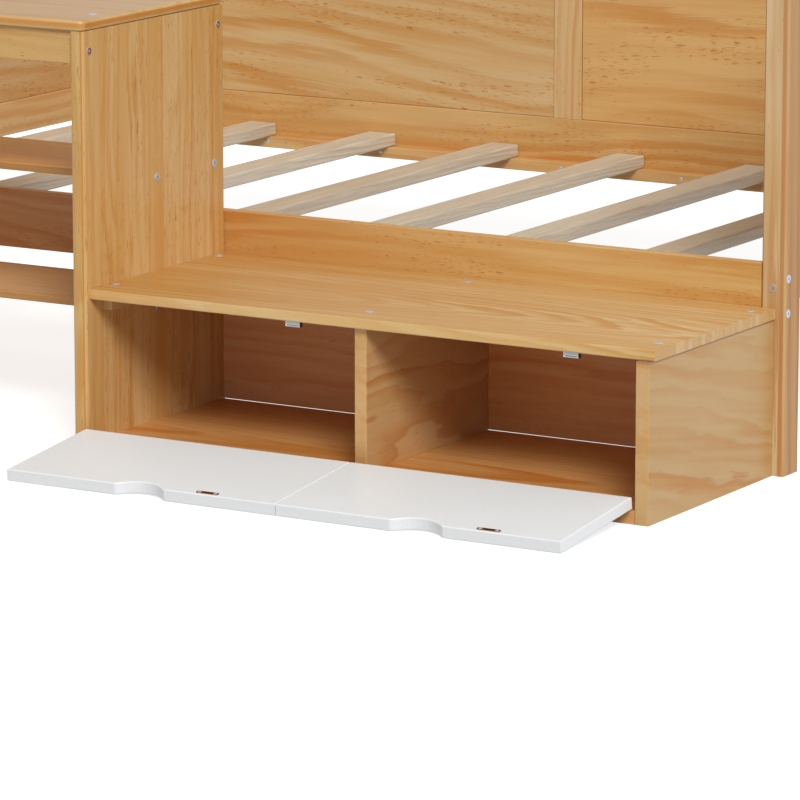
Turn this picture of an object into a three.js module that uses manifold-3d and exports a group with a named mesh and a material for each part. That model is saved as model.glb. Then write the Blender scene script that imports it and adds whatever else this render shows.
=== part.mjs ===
// Pine daybed with a storage bench and a desk along its front, in millimetres, +Z up.
// Three sides of the bed are panelled. Along the front stand a bench with two drop-down doors
// on the right and a desk with two shelves on the left. The doors are modelled open,
// with their free edges lying on the floor, and swing up about the pins of their hinges.
import * as THREE from "three";
import { mergeVertices } from "three/addons/utils/BufferGeometryUtils.js";
import Module from "manifold-3d";

const wasm = await Module();
wasm.setup();

// Bed frame: outer size, and the clear depth between the front and the back rail.
const bedLength = 1956;
const bedHeight = 950;
const bayDepth = 1098;
const postWidth = 40;
const postDepth = 50;
const postChamfer = 3;

// Lower rails, at the height of the mattress base.
const railThickness = 18;
const railHeight = 94;
const railTop = 317.5;
const endRailThickness = 16;
const endRailHeight = 59.5;
const endRailInset = 9; // from the outer faces of the posts
const railRound = 1.5;

// Top rails, the back's centre stile and the panels that sit in grooves of the frame.
const topRailHeight = 70;
const stileWidth = 54;
const panelThickness = 10;
const panelRecess = 3; // from the inner faces of the back rails
const grooveDepth = 6;

// Mattress base: slats that lie on a ledge along each long rail.
const ledgeWidth = 22;
const ledgeHeight = 20;
const slatCount = 8;
const slatWidth = 55;
const slatThickness = 22;
const slatEndMargin = 54; // from an end rail to the nearest slat
const slatEndPlay = 2;
const slatRound = 3;

// Storage bench.
const benchDepth = 390;
const benchHeight = 252;
const benchTopThickness = 16;
const benchTopSetback = 11;
const benchTopOverhang = 2;
const benchTopRound = 2;
const benchSideThickness = 22;
const dividerThickness = 20;
const dividerSetback = 23;
const floorThickness = 20;
const backThickness = 6;
const backSlit = 0.3; // between the floor board and the back panel
const cleatWidth = 15;
const cleatHeight = 21;
const cleatSetback = 49.5;

// Desk. Its right side is the bench's left wall.
const deskRightX = 5; // from the bed's middle
const deskHeight = 657;
const deskTopThickness = 16.5;
const deskTopRound = 6;
const deskTopEndOverhang = 1.5;
const deskTopFrontOverhang = 3;
const deskSideThickness = 24;
const deskSideSetback = 2;
const deskSideRound = 4;
const deskSideInset = 18; // of the left side, from the outer face of the left post
const apronThickness = 18;
const apronHeight = 50;
const apronSetback = 7; // from the edges of the desk's sides
const shelfThickness = 11;
const shelfDepth = 218;
const shelfRound = 1.5;
const upperShelfTop = 401;
const lowerShelfTop = 198.5;
const boardRound = 1;

// Doors, each with a finger notch in its free edge.
const doorThickness = 18;
const doorHeight = 210;
const doorSideGap = 2;
const doorMiddleGap = 1.5;
const doorRound = 1.5;
const notchWidth = 88;
const notchDepth = 20;
const notchShoulder = 4;
const notchSweep = 27;
const doorFloorGap = 0.5; // left under an open door's free edge

// Butt hinges between the floor board and the doors' lower edges.
const leafLength = 50;
const leafDepth = 14;
const leafThickness = 1;
const leafGap = 0.9;
const knuckleRadius = 2;
const knuckleLap = 1.2; // from the pin's axis to where a leaf joins its knuckles
const knuckleGap = 0.3;
const knuckleCount = 3;
const pinRadius = 0.9;
const pinPlay = 0.1;
const hingeInset = 60; // from a door's ends to its hinges

// Magnetic catches under the bench top and strike plates on the doors.
const catchLength = 24.5;
const catchDepth = 8;
const catchHeight = 9.2;
const catchRound = 1;
const catchFromEnd = 113.5;
const catchPlay = 0.6; // between a shut door's strike plate and the magnet
const strikeLength = 38;
const strikeHeight = 8;
const strikeThickness = 1;
const strikeFromEdge = 8;
const strikeFromEnd = 118.1;

// Left between pieces that are screwed or bolted together.
const fitGap = 0.2;

// Places worked out from the sizes above. X runs along the bed from its middle, Y back from
// the bench's front edge and Z up from the floor.
const postOuterX = bedLength / 2;
const postInnerX = postOuterX - postWidth;
const frontPostY = benchDepth;
const frontRailBackY = benchDepth + railThickness;
const backRailY = frontRailBackY + bayDepth;
const bedBackY = backRailY + railThickness;
const backPostY = bedBackY - postDepth;
const endRailOuterX = postOuterX - endRailInset;
const endRailInnerX = endRailOuterX - endRailThickness;
const railBottom = railTop - railHeight;
const topRailBottom = bedHeight - topRailHeight;
const benchTopBottom = benchHeight - benchTopThickness;
const benchRightX = postInnerX + benchSideThickness;
const deskTopBottom = deskHeight - deskTopThickness;
const deskLeftX = deskSideInset - postOuterX;
const openingWidth = postInnerX - deskRightX;
const doorWidth = (openingWidth - 2 * doorSideGap - doorMiddleGap) / 2;
const openingMiddleX = deskRightX + openingWidth / 2;
const backPanelY = benchDepth - backThickness;
const pinY = -knuckleRadius;
const doorLift = leafGap / 2 + leafThickness + fitGap; // from the pin to a shut door's lower edge
const pinZ = floorThickness + doorLift;

export const colours = {
  pine: { color: 0xc9985c, roughness: 0.5, metalness: 0 },
  paleWood: { color: 0xbfa584, roughness: 0.7, metalness: 0 },
  lacquer: { color: 0xe9e7e4, roughness: 0.35, metalness: 0 },
  steel: { color: 0xb9bcc0, roughness: 0.3, metalness: 1 },
  plastic: { color: 0xe2e4e6, roughness: 0.5, metalness: 0 },
};

const bed = new THREE.Group();
const bench = new THREE.Group();
const desk = new THREE.Group();

// A mesh of its own colour in one of the groups.
function addMesh(group, name, geometry, colour) {
  const mesh = new THREE.Mesh(geometry, new THREE.MeshStandardMaterial(colour));
  mesh.name = name;
  group.add(mesh);
  return mesh;
}

// A rectangle about the origin with rounded corners, or cut corners where steps is 1.
function roundedRectangle(width, height, radius, steps) {
  const r = Math.min(radius, width / 2 - fitGap, height / 2 - fitGap);
  const corners = [[1, 1], [-1, 1], [-1, -1], [1, -1]];
  const points = corners.flatMap(([sx, sy], corner) => {
    const centre = new THREE.Vector2(sx * (width / 2 - r), sy * (height / 2 - r));
    return Array.from({ length: steps + 1 }, (_, step) => {
      const angle = (corner + step / steps) * Math.PI / 2;
      return new THREE.Vector2(Math.cos(angle), Math.sin(angle)).multiplyScalar(r).add(centre);
    });
  });
  return new THREE.Shape(points);
}

// Axes of an extrusion along X, Y or Z, as the columns of a rotation.
const X = new THREE.Vector3(1, 0, 0);
const Y = new THREE.Vector3(0, 1, 0);
const Z = new THREE.Vector3(0, 0, 1);
const alongAxis = {
  x: new THREE.Matrix4().makeBasis(Y, Z, X),
  y: new THREE.Matrix4().makeBasis(Z, X, Y),
  z: new THREE.Matrix4().makeBasis(X, Y, Z),
};

// A board between two corners, with its edges along the named axis rounded.
function board(low, high, along = "x", radius = boardRound, steps = 2) {
  const size = high.map((value, i) => value - low[i]);
  const sides = { x: [1, 2, 0], y: [2, 0, 1], z: [0, 1, 2] }[along];
  const [width, height, depth] = sides.map((i) => size[i]);
  const geometry = new THREE.ExtrudeGeometry(roundedRectangle(width, height, radius, steps), {
    depth,
    bevelEnabled: false,
  });
  geometry.translate(0, 0, -depth / 2);
  geometry.applyMatrix4(alongAxis[along]);
  return geometry.translate(...low.map((value, i) => (value + high[i]) / 2));
}

// Solids for joining and cutting.
function solidOf(geometry) {
  const bare = geometry.clone();
  bare.deleteAttribute("normal");
  bare.deleteAttribute("uv");
  const merged = mergeVertices(bare);
  return new wasm.Manifold(new wasm.Mesh({
    numProp: 3,
    vertProperties: merged.attributes.position.array,
    triVerts: new Uint32Array(merged.index.array),
  }));
}

function geometryOf(solid) {
  const mesh = solid.getMesh();
  const geometry = new THREE.BufferGeometry();
  geometry.setAttribute("position", new THREE.BufferAttribute(mesh.vertProperties, 3));
  geometry.setIndex(new THREE.BufferAttribute(mesh.triVerts, 1));
  geometry.computeVertexNormals();
  return geometry;
}

// The geometry with the boxes between each pair of corners cut out of it.
function cutBoxes(geometry, boxes) {
  const cut = boxes.reduce((solid, [low, high]) => {
    const size = high.map((value, i) => value - low[i]);
    const box = new THREE.BoxGeometry(...size);
    box.translate(...low.map((value, i) => (value + high[i]) / 2));
    return solid.subtract(solidOf(box));
  }, solidOf(geometry));
  return geometryOf(cut);
}

// A box grown all round by the fit gap: the groove that holds a panel.
function grooveFor([low, high]) {
  return [low.map((value) => value - fitGap), high.map((value) => value + fitGap)];
}

// The back and end panels, between the corners where their edges sit in the grooves.
const panelLow = railTop - grooveDepth;
const panelHigh = topRailBottom + grooveDepth;
const backPanelFront = backRailY + panelRecess;
const backPanelBack = backPanelFront + panelThickness;
const endPanelMiddleX = (endRailInnerX + endRailOuterX) / 2;

function backPanel(side) {
  const inner = stileWidth / 2 - grooveDepth;
  const outer = postInnerX + grooveDepth;
  const [left, right] = side > 0 ? [inner, outer] : [-outer, -inner];
  return [[left, backPanelFront, panelLow], [right, backPanelBack, panelHigh]];
}

function endPanel(side) {
  const left = side * endPanelMiddleX - panelThickness / 2;
  return [
    [left, frontPostY + postDepth - grooveDepth, panelLow],
    [left + panelThickness, backPostY + grooveDepth, panelHigh],
  ];
}

const sides = [["left", -1], ["right", 1]];
const panels = sides.flatMap(([, side]) => [backPanel(side), endPanel(side)]);
const grooves = panels.map(grooveFor);

// Corner posts, cut for the panels' edges.
function addPosts() {
  for (const [sideName, side] of sides) {
    for (const [place, y] of [["front", frontPostY], ["back", backPostY]]) {
      const left = side > 0 ? postInnerX : -postOuterX;
      const low = [left, y, 0];
      const high = [left + postWidth, y + postDepth, bedHeight];
      const post = cutBoxes(board(low, high, "z", postChamfer, 1), grooves);
      addMesh(bed, `post_${place}_${sideName}`, post, colours.pine);
    }
  }
}

// Long rails between the posts, and the ledges that carry the slats.
function addLongRails() {
  const reach = postInnerX - fitGap;
  const rails = [
    ["rail_front", benchDepth, railBottom, railTop],
    ["rail_back", backRailY, railBottom, railTop],
    ["rail_back_top", backRailY, topRailBottom, bedHeight],
  ];
  for (const [name, y, bottom, top] of rails) {
    const rail = board([-reach, y, bottom], [reach, y + railThickness, top], "x", railRound);
    addMesh(bed, name, cutBoxes(rail, grooves), colours.pine);
  }
  const ledges = [
    ["ledge_front", frontRailBackY + fitGap],
    ["ledge_back", backRailY - fitGap - ledgeWidth],
  ];
  for (const [name, y] of ledges) {
    const high = [reach, y + ledgeWidth, railBottom + ledgeHeight];
    addMesh(bed, name, board([-reach, y, railBottom], high, "x", railRound), colours.pine);
  }
}

// End rails between the front and back posts, under and over the end panels.
function addEndRails() {
  const front = frontPostY + postDepth + fitGap;
  const back = backPostY - fitGap;
  const levels = [
    ["rail_end", railTop - endRailHeight, railTop],
    ["rail_end_top", topRailBottom, bedHeight],
  ];
  for (const [sideName, side] of sides) {
    const left = side * endPanelMiddleX - endRailThickness / 2;
    for (const [name, bottom, top] of levels) {
      const rail = board([left, front, bottom], [left + endRailThickness, back, top], "y", railRound);
      addMesh(bed, `${name}_${sideName}`, cutBoxes(rail, grooves), colours.pine);
    }
  }
}

// The panels themselves and the stile between the two at the back.
function addPanels() {
  const stileLow = [-stileWidth / 2, backRailY, railTop + fitGap];
  const stileHigh = [stileWidth / 2, bedBackY, topRailBottom - fitGap];
  addMesh(bed, "stile_back", cutBoxes(board(stileLow, stileHigh, "z"), grooves), colours.pine);
  for (const [sideName, side] of sides) {
    addMesh(bed, `panel_back_${sideName}`, board(...backPanel(side), "x"), colours.pine);
    addMesh(bed, `panel_end_${sideName}`, board(...endPanel(side), "y"), colours.pine);
  }
}

// Slats at even steps between the end rails.
function addSlats() {
  const firstX = slatEndMargin - endRailInnerX;
  const step = (-2 * firstX - slatWidth) / (slatCount - 1);
  const front = frontRailBackY + slatEndPlay;
  const back = backRailY - slatEndPlay;
  const bottom = railBottom + ledgeHeight + fitGap;
  for (let i = 0; i < slatCount; i += 1) {
    const left = firstX + i * step;
    const high = [left + slatWidth, back, bottom + slatThickness];
    const slat = board([left, front, bottom], high, "y", slatRound);
    addMesh(bed, `slat_${i + 1}`, slat, colours.paleWood);
  }
}

// The bench's carcass.
function addBench() {
  const left = deskRightX + fitGap;
  const right = postInnerX - fitGap;
  const back = benchDepth - fitGap;
  const inBack = backPanelY - fitGap;
  const ceiling = benchTopBottom - fitGap;
  const topLow = [left, benchTopSetback, benchTopBottom];
  const topHigh = [benchRightX + benchTopOverhang, back, benchHeight];
  addMesh(bench, "bench_top", board(topLow, topHigh, "x", benchTopRound), colours.pine);
  const side = board([postInnerX, 0, 0], [benchRightX, back, ceiling], "z");
  addMesh(bench, "bench_side", side, colours.pine);
  const floor = board([left, 0, 0], [right, inBack, floorThickness], "x");
  addMesh(bench, "bench_floor", floor, colours.pine);
  const dividerLow = [openingMiddleX - dividerThickness / 2, dividerSetback, floorThickness + fitGap];
  const dividerHigh = [openingMiddleX + dividerThickness / 2, inBack, ceiling];
  addMesh(bench, "bench_divider", board(dividerLow, dividerHigh, "z"), colours.pine);
  const backPanelBottom = floorThickness + backSlit;
  const panel = board([left, backPanelY, backPanelBottom], [right, back, ceiling], "x");
  addMesh(bench, "bench_back", panel, colours.pine);
  const cleatLow = [left, cleatSetback, ceiling - cleatHeight];
  const cleatHigh = [left + cleatWidth, inBack, ceiling];
  addMesh(bench, "bench_cleat", board(cleatLow, cleatHigh, "y"), colours.pine);
}

// The desk's two sides, with rounded upright edges, and its top with a bullnose edge all round.
function addDeskShell() {
  const back = benchDepth - fitGap;
  const sideLefts = [["left", deskLeftX], ["right", deskRightX - deskSideThickness]];
  for (const [sideName, x] of sideLefts) {
    const low = [x, deskSideSetback, 0];
    const high = [x + deskSideThickness, back, deskTopBottom - fitGap];
    addMesh(desk, `desk_side_${sideName}`, board(low, high, "z", deskSideRound), colours.pine);
  }
  addMesh(desk, "desk_top", deskTop(back), colours.pine);
}

function deskTop(back) {
  const left = deskLeftX - deskTopEndOverhang;
  const right = deskRightX + deskTopEndOverhang;
  const front = deskSideSetback - deskTopFrontOverhang;
  const r = Math.min(deskTopRound, deskTopThickness / 2 - fitGap);
  const outline = roundedRectangle(right - left - 2 * r, back - front - 2 * r, r, 4);
  const geometry = new THREE.ExtrudeGeometry(outline, {
    depth: deskTopThickness - 2 * r,
    bevelThickness: r,
    bevelSize: r,
    bevelSegments: 5,
  });
  return geometry.translate((left + right) / 2, (front + back) / 2, deskTopBottom + r);
}

// Aprons and shelves between the desk's sides.
function addDeskBoards() {
  const left = deskLeftX + deskSideThickness + fitGap;
  const right = deskRightX - deskSideThickness - fitGap;
  const back = benchDepth - fitGap;
  const apronTop = deskTopBottom - fitGap;
  const frontApronY = deskSideSetback + apronSetback;
  const aprons = [["front", frontApronY], ["back", back - apronSetback - apronThickness]];
  for (const [place, y] of aprons) {
    const low = [left, y, apronTop - apronHeight];
    const high = [right, y + apronThickness, apronTop];
    addMesh(desk, `desk_apron_${place}`, board(low, high, "x"), colours.pine);
  }
  for (const [name, top] of [["upper", upperShelfTop], ["lower", lowerShelfTop]]) {
    const low = [left, back - shelfDepth, top - shelfThickness];
    const shelf = board(low, [right, back, top], "x", shelfRound);
    addMesh(desk, `desk_shelf_${name}`, shelf, colours.pine);
  }
}

// How far an open door has swung from shut: the turn about the pin that brings the upper
// outer corner of a shut door down to the floor.
function doorSwing() {
  const outward = -pinY;
  const upward = doorHeight + doorLift;
  const reach = Math.hypot(outward, upward);
  return Math.atan2(outward, upward) + Math.acos((doorFloorGap - pinZ) / reach);
}

// The outline of a shut door about the middle of its lower edge, with a notch that runs in one
// bowed curve from each shoulder to its middle.
function doorOutline() {
  const half = doorWidth / 2 - doorRound;
  const low = doorLift + doorRound;
  const high = doorLift + doorHeight - doorRound;
  const mouth = notchWidth / 2;
  const foot = high - notchDepth;
  const shape = new THREE.Shape();
  shape.moveTo(-half, low);
  shape.lineTo(half, low);
  shape.lineTo(half, high);
  shape.lineTo(mouth, high);
  shape.bezierCurveTo(mouth - notchShoulder, high, notchSweep, foot, 0, foot);
  shape.bezierCurveTo(-notchSweep, foot, notchShoulder - mouth, high, -mouth, high);
  shape.lineTo(-half, high);
  return shape;
}

// A door board in the frame of its pin: X along the pin, Y into the bench and Z up when shut.
function doorBoard() {
  const geometry = new THREE.ExtrudeGeometry(doorOutline(), {
    depth: doorThickness - 2 * doorRound,
    bevelThickness: doorRound,
    bevelSize: doorRound,
    bevelSegments: 2,
    curveSegments: 8,
  });
  geometry.rotateX(Math.PI / 2);
  return geometry.translate(0, doorThickness - doorRound - pinY, 0);
}

// A strike plate on the inner face of a shut door, with round ends.
function strikePlate() {
  const plate = new THREE.ExtrudeGeometry(
    roundedRectangle(strikeLength, strikeHeight, strikeHeight / 2, 4),
    { depth: strikeThickness, bevelEnabled: false },
  );
  plate.rotateX(Math.PI / 2);
  const x = doorWidth / 2 - strikeFromEnd;
  const y = doorThickness - pinY + fitGap + strikeThickness;
  return plate.translate(x, y, doorLift + doorHeight - strikeFromEdge);
}

// A tube along X from one place to another, or a rod where it has no bore.
function tubeAlongX(outer, bore, from, to) {
  const shape = new THREE.Shape().absarc(0, 0, outer, 0, 2 * Math.PI);
  if (bore > 0) shape.holes.push(new THREE.Path().absarc(0, 0, bore, 0, 2 * Math.PI, true));
  const tube = new THREE.ExtrudeGeometry(shape, {
    depth: to - from,
    bevelEnabled: false,
    curveSegments: 8,
  });
  tube.applyMatrix4(alongAxis.x);
  return tube.translate(from, 0, 0);
}

// One leaf of a hinge about its pin, with the knuckles that are its own: the middle one for
// the door's leaf above the pin, and the outer ones for the fixed leaf below it.
function hingeLeaf(isDoorLeaf) {
  const pitch = leafLength / knuckleCount;
  const height = isDoorLeaf ? leafGap / 2 : -leafGap / 2 - leafThickness;
  const plate = new THREE.BoxGeometry(leafLength, leafDepth + knuckleRadius - knuckleLap, leafThickness);
  const middleY = (leafDepth + knuckleRadius + knuckleLap) / 2;
  plate.translate(0, middleY, height + leafThickness / 2);
  let solid = solidOf(plate);
  for (let i = 0; i < knuckleCount; i += 1) {
    const start = i * pitch - leafLength / 2;
    const end = start + pitch;
    if ((i % 2 === 1) === isDoorLeaf) {
      const bore = pinRadius + pinPlay;
      const knuckle = tubeAlongX(knuckleRadius, bore, start + knuckleGap / 2, end - knuckleGap / 2);
      solid = solid.add(solidOf(knuckle));
    } else {
      const reach = knuckleRadius + knuckleGap;
      const space = tubeAlongX(reach, 0, start - knuckleGap / 2, end + knuckleGap / 2);
      solid = solid.subtract(solidOf(space));
    }
  }
  return geometryOf(solid);
}

// The doors, each a turned group with its strike plate and its hinges' moving leaves. The
// fixed leaves and the pins stay on the bench.
function addDoors() {
  for (const [sideName, side] of sides) {
    const x = openingMiddleX + side * (doorWidth + doorMiddleGap) / 2;
    const door = new THREE.Group();
    door.position.set(x, pinY, pinZ);
    door.rotation.x = doorSwing();
    bench.add(door);
    addMesh(door, `door_${sideName}`, doorBoard(), colours.lacquer);
    addMesh(door, `strike_${sideName}`, strikePlate(), colours.steel);
    const hingeOffset = doorWidth / 2 - hingeInset - leafLength / 2;
    addHinge(door, `hinge_${sideName}_1`, -hingeOffset);
    addHinge(door, `hinge_${sideName}_2`, hingeOffset);
    addCatch(sideName, x + doorWidth / 2 - catchFromEnd);
  }
}

function addHinge(door, name, x) {
  const moving = addMesh(door, `${name}_door_leaf`, hingeLeaf(true), colours.steel);
  moving.position.x = x;
  const fixed = addMesh(bench, `${name}_floor_leaf`, hingeLeaf(false), colours.steel);
  fixed.position.copy(door.position).add(moving.position);
  const pin = tubeAlongX(pinRadius, 0, -leafLength / 2, leafLength / 2);
  addMesh(bench, `${name}_pin`, pin, colours.steel).position.copy(fixed.position);
}

// A magnetic catch under the bench top, just behind a shut door's strike plate.
function addCatch(sideName, x) {
  const front = doorThickness + fitGap + strikeThickness + catchPlay;
  const top = benchTopBottom - fitGap;
  const low = [x - catchLength / 2, front, top - catchHeight];
  const high = [x + catchLength / 2, front + catchDepth, top];
  addMesh(bench, `catch_${sideName}`, board(low, high, "x", catchRound), colours.plastic);
}

addPosts();
addLongRails();
addEndRails();
addPanels();
addSlats();
addBench();
addDeskShell();
addDeskBoards();
addDoors();

// The origin is on the floor, under the middle of the daybed with its doors open.
const daybed = new THREE.Group();
daybed.add(bed, bench, desk);
const middle = new THREE.Box3().setFromObject(daybed, true).getCenter(new THREE.Vector3());
daybed.position.set(-middle.x, -middle.y, 0);

export default daybed;
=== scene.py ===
import math

import bmesh
import bpy
from mathutils import Matrix, Vector


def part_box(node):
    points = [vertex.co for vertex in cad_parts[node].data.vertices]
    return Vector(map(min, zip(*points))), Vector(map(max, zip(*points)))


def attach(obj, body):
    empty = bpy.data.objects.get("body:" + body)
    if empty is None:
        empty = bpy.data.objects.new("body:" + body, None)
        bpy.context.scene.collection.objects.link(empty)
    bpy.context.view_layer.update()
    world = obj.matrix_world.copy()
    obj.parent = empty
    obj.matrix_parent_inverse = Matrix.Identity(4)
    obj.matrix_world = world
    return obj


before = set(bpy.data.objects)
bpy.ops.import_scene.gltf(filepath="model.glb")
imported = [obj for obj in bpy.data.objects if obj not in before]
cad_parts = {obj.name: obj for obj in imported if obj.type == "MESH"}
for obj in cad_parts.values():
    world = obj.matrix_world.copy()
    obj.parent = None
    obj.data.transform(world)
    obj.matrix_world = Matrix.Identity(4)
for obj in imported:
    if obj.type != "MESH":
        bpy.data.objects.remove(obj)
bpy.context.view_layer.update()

MM = 0.001

# The camera that took the photograph: its place in metres from the bench side's lower front
# corner, how far it looks down and round in degrees, and its lens.
CAMERA_FROM_CORNER = (3.3768, -6.4075, 1.6570)
CAMERA_PITCH = 11.516
CAMERA_YAW = 30.569
CAMERA_LENS_MM = 235.95
CAMERA_SENSOR_MM = 36
CAMERA_REACH = 200

# The light: a wide sun with its angle in radians, an even surround, and a floor that glows to
# the eye and in reflections.
SUN_FROM = (0.85, -1.0, 1.0)
SUN_STRENGTH = 2.36
SUN_ANGLE = 0.34
SURROUND_STRENGTH = 0.5
SURROUND_SEEN_STRENGTH = 1.0
FLOOR_SIZE = 60
FLOOR_GREY = (0.55, 0.55, 0.55, 1)
FLOOR_GLOW = 0.72

# How far the doors stand open at rest, and half the gap between a shut hinge's leaves.
DOOR_SWING = math.radians(96.3061)
HINGE_HALF_GAP = 0.45 * MM

SIDES = ("left", "right")
HINGES = ("1", "2")
SLATS = 8

# Colours as they are seen, from 0 to 255.
PINE_PALE = (207, 171, 120)
PINE_HONEY = (198, 152, 91)
PINE_BAND = (190, 131, 62)
PINE_FLECK = (170, 98, 28)
PINE_EDGE_DARK = (190, 122, 46)
# A painted highlight along the desk top's edge.
DESK_EDGE_GLINT = (230, 192, 130)
PINE_VEIN = (176, 114, 56)
POST_BAND = (176, 108, 42)
BENCH_SIDE_BAND = (198, 136, 50)
DIVIDER_CONTOUR = (176, 98, 30)
# Painted shade along the panels' joints with the rails and the stile.
SEAM_SHADE = (96, 62, 36)
SHADE = (150, 112, 80)
SLAT_PALE = (210, 199, 180)
SLAT_HONEY = (197, 182, 160)
SLAT_BAND = (176, 155, 128)
LACQUER = (240, 243, 243)
# The doors' edges and ends are painted a shade darker than their faces, as painted shade.
LACQUER_EDGE_SHADE = (225, 226, 227)
LACQUER_END_SHADE = (236, 238, 240)
ZINC = (200, 210, 222)
PLASTIC = (236, 238, 240)
# Painted shade in the fastener heads' sockets and cross recesses.
SOCKET_SHADE_GREY = (154, 162, 174)
# A painted shadow in the recessed bolts' counterbores, then a painted reflection of the wood on their
# middles.
COUNTERBORE_SHADOW = (134, 92, 54)
BOLT_WOOD_REFLECTION = (196, 164, 124)
BOLT_BLUSH = (180, 142, 120)
BOLT_MATTE = (216, 208, 202)
BOLT_DULL = (178, 166, 152)
POLE_BLUE = (158, 176, 188)
# Painted shade in the gap between a catch's poles.
POLE_GAP_SHADE = (112, 112, 112)
# Painted shade on the catches' sides, dark red like the wood round them.
CATCH_SIDE_SHADE = (84, 36, 22)
STRIKE_BRONZE = (196, 150, 118)


def linear(colour):
    """A seen colour as Blender's linear one, by the sRGB curve."""
    shares = [value / 255 for value in colour]
    return [s / 12.92 if s <= 0.04045 else ((s + 0.055) / 1.055) ** 2.4 for s in shares] + [1.0]


class Tree:
    """Adds nodes to a node tree, one call for each, and gives back their outputs."""

    def __init__(self, tree):
        self.tree = tree

    def add(self, kind, inputs=(), **settings):
        node = self.tree.nodes.new(kind)
        for key, value in settings.items():
            setattr(node, key, value)
        for key, value in dict(inputs).items():
            self.feed(node.inputs[key], value)
        return node

    def feed(self, socket, value):
        if isinstance(value, bpy.types.NodeSocket):
            self.tree.links.new(value, socket)
        else:
            socket.default_value = value

    def math(self, operation, *values):
        return self.add("ShaderNodeMath", enumerate(values), operation=operation).outputs[0]

    def vector(self, operation, *values):
        node = self.add("ShaderNodeVectorMath", enumerate(values), operation=operation)
        return node.outputs[0]

    def combine(self, x, y, z):
        return self.add("ShaderNodeCombineXYZ", {"X": x, "Y": y, "Z": z}).outputs[0]

    def separate(self, vector):
        return self.add("ShaderNodeSeparateXYZ", {"Vector": vector}).outputs[:3]

    def noise(self, vector, scale=1.0, detail=2.0, roughness=0.5):
        inputs = {"Vector": vector, "Scale": scale, "Detail": detail, "Roughness": roughness}
        return self.add("ShaderNodeTexNoise", inputs).outputs

    def random(self, value):
        return self.add("ShaderNodeTexWhiteNoise", {"W": value}, noise_dimensions="1D").outputs

    def smooth(self, value, low, high, to_low=0.0, to_high=1.0):
        inputs = {"Value": value, "From Min": low, "From Max": high, "To Min": to_low, "To Max": to_high}
        node = self.add("ShaderNodeMapRange", inputs, interpolation_type="SMOOTHSTEP")
        return node.outputs[0]

    def mix(self, share, first, second):
        # The node has sockets of the same names for numbers and colours, so these go by place.
        node = self.add("ShaderNodeMix", data_type="RGBA", blend_type="MIX")
        for index, value in ((0, share), (6, first), (7, second)):
            self.feed(node.inputs[index], value)
        return node.outputs[2]

    def facing(self, component, low=0.6, high=0.9):
        """How far a face looks along an axis, either way, from the normal's component."""
        return self.smooth(self.math("ABSOLUTE", component), low, high)

    def bump(self, strength, distance, height):
        inputs = {"Strength": strength, "Distance": distance, "Height": height}
        return self.add("ShaderNodeBump", inputs).outputs[0]

    def seen(self):
        """One for rays from the camera, a reflection or a pane, and nought for light's own."""
        rays = self.add("ShaderNodeLightPath").outputs
        seen = self.math("MAXIMUM", rays["Is Camera Ray"], rays["Is Glossy Ray"])
        return self.math("MAXIMUM", seen, rays["Is Transmission Ray"])


def emptied(owner):
    """The emptied node tree of a material or a world."""
    owner.use_nodes = True
    owner.node_tree.nodes.clear()
    return Tree(owner.node_tree)


# How often each figure in the pine repeats in a metre: along the grain, across it and into
# the board.
WANDER = (1.7, 6.0, 6.0)
RIPPLE = (9.0, 38.0, 38.0)
FIBRE = (14.0, 620.0, 620.0)
STREAK = (5.0, 110.0, 110.0)
FADE = (1.6, 9.0, 9.0)
PATCH = (1.3, 9.0, 9.0)
STRIPE = (0.9, 60.0, 0.0)
DRIFT = (2.6, 17.0, 17.0)
CRUMPLE = (60.0, 260.0, 260.0)

# How far the crumple bends the flecks in metres, and the middle of a noise's colour.
CRUMPLE_REACH = (0.02, 0.006, 0.006)
MIDDLE = (0.5, 0.5, 0.5)

# How a stave's seed shifts its figure, the step from one stave's seed to the next, and how far a
# stave's pith can lie from the board's own in metres.
STAVE_SHIFT = (0.733, 1.417, 0.291)
STAVE_SEED_STEP = 7.31
PITH_REACH = 0.06

# The width of the blocks of tone in a sawn end in metres, and how much of an end grain it is.
END_GRAIN_BLOCK = 0.025
END_GRAIN_SHARE = 0.8

# How the pith's wander and the streaks push the growth rings about, and the faintest ring.
WAVE_GAIN = 4.0
STREAK_WEIGHT = 2.0
RING_FAINTEST = 0.25

# Smooth steps: the values between which a figure counts, and what it gives there. A ring is
# counted from 0 to 1, its dark wood rising slowly and its outline at the end of it.
LATE_RISE = (0.2, 0.78)
LATE_FALL = (0.8, 1.0, 1.0, 0.0)
OUTLINE_RISE = (0.78, 0.92)
OUTLINE_FALL = (0.93, 1.0, 1.0, 0.0)
FADE_STEP = (0.38, 0.62, 0.35, 1.0)
DRIFT_STEP = (0.36, 0.6, 0.05, 0.48)
FLECK_STEP = (-0.02, 0.08)
FLECK_SHADES = (0.0, 1.0, 0.3, 0.95)
SHINE_STEP = (0.2, 0.8, 0.36, 0.46)

# How much each figure shifts a board's tone, and how much stands out in its colour and height.
STAVE_TONE = 0.8
STREAK_TONE = 1.0
STRIPE_TONE = 2.0
END_GRAIN_TONE = 1.1
FLECK_STRENGTH = 0.8
FIBRE_HEIGHT = 0.5
FLECK_DEPTH = 0.3
LATE_HEIGHT = 0.4

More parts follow.
